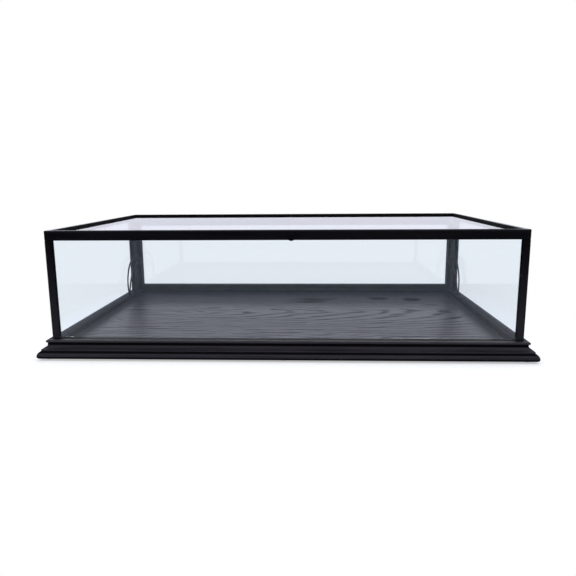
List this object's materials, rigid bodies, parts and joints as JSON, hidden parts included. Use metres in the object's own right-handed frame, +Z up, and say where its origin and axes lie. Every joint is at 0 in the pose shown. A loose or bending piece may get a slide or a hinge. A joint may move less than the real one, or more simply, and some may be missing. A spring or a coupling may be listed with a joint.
{
  "type": "countertop display case",
  "caption": "Low glazed countertop display case on a moulded black wooden base, its glass hood hinged at the back and lifted by a small front knob.",
  "frame": {"origin": "middle of the felt pads' underside, on the counter", "axes": "+Z up, +X to the right across the longest side, front with the knob faces -Y"},
  "size_m": [0.852, 0.502, 0.222],
  "materials": {
    "frame_lacquer": "satin black lacquer",
    "moulding_wood": "satin black lacquer",
    "floor_veneer": "black-stained open-grain veneer, satin",
    "hidden_wood": "bare softwood",
    "glass": "clear polished",
    "hinge_steel": "blackened steel",
    "stay_steel": "blackened steel",
    "fastener_steel": "blackened zinc",
    "knob_lacquer": "gloss black",
    "felt": "felt",
    "rubber": "matt"
  },
  "bodies": {
    "base": {"moulding_front": "moulding_wood", "moulding_rear": "moulding_wood", "moulding_left": "moulding_wood", "moulding_right": "moulding_wood", "floor_panel": "floor_veneer", "batten_left": "hidden_wood", "batten_right": "hidden_wood", "block_front_left": "hidden_wood", "block_front_right": "hidden_wood", "block_rear_left": "hidden_wood", "block_rear_right": "hidden_wood", "felt_pads": "felt", "batten_screws": "fastener_steel", "back_screws": "fastener_steel", "hood_bumpers": "rubber", "rear_stile_left": "frame_lacquer", "rear_stile_right": "frame_lacquer", "rear_top_rail": "frame_lacquer", "rear_bottom_rail": "frame_lacquer", "rear_pane": "glass", "hinge_leaf_fixed_left": "hinge_steel", "hinge_leaf_fixed_right": "hinge_steel", "hinge_pins": "fastener_steel", "hinge_screws_fixed": "fastener_steel", "stay_bracket_rear_left": "stay_steel", "stay_bracket_rear_right": "stay_steel", "stay_screws_rear": "fastener_steel"},
    "hood": {"hinge_leaf_hood_left": "hinge_steel", "hinge_leaf_hood_right": "hinge_steel", "hinge_screws_hood": "fastener_steel", "top_rail_front": "frame_lacquer", "top_rail_rear": "frame_lacquer", "top_rail_left": "frame_lacquer", "top_rail_right": "frame_lacquer", "top_pane": "glass", "post_left": "frame_lacquer", "post_right": "frame_lacquer", "front_pane": "glass", "side_stile_left": "frame_lacquer", "side_stile_right": "frame_lacquer", "side_pane_left": "glass", "side_pane_right": "glass", "knob": "knob_lacquer", "knob_screw": "fastener_steel", "stay_bracket_hood_left": "stay_steel", "stay_bracket_hood_right": "stay_steel", "stay_screws_hood": "fastener_steel"},
    "stay_rear_left": {"stay_arm_rear_left": "stay_steel"},
    "stay_hood_left": {"stay_arm_hood_left": "stay_steel"},
    "stay_rear_right": {"stay_arm_rear_right": "stay_steel"},
    "stay_hood_right": {"stay_arm_hood_right": "stay_steel"}
  },
  "joints": [
    {"name": "hood_hinge", "type": "hinge", "parent": "base", "child": "hood", "pos_m": [0, 0.2336, 0.20475], "axis": [-1, 0, 0], "range_deg": [0, 75]},
    {"name": "stay_rear_left_pivot", "type": "hinge", "parent": "base", "child": "stay_rear_left", "pos_m": [-0.38865, 0.203, 0.105], "axis": [-1, 0, 0], "range_deg": [0, 47.89]},
    {"name": "stay_hood_left_pivot", "type": "hinge", "parent": "hood", "child": "stay_hood_left", "pos_m": [-0.39045, 0.194, 0.115], "axis": [1, 0, 0], "range_deg": [0, 98.98]},
    {"name": "stay_rear_right_pivot", "type": "hinge", "parent": "base", "child": "stay_rear_right", "pos_m": [0.38865, 0.203, 0.105], "axis": [-1, 0, 0], "range_deg": [0, 47.89]},
    {"name": "stay_hood_right_pivot", "type": "hinge", "parent": "hood", "child": "stay_hood_right", "pos_m": [0.39045, 0.194, 0.115], "axis": [1, 0, 0], "range_deg": [0, 98.98]}
  ],
  "couplings": [
    {"joint": "stay_rear_left_pivot", "follows": "hood_hinge", "ratio": 0.63791},
    {"joint": "stay_hood_left_pivot", "follows": "hood_hinge", "ratio": 1.319},
    {"joint": "stay_rear_right_pivot", "follows": "hood_hinge", "ratio": 0.63791},
    {"joint": "stay_hood_right_pivot", "follows": "hood_hinge", "ratio": 1.319}
  ]
}
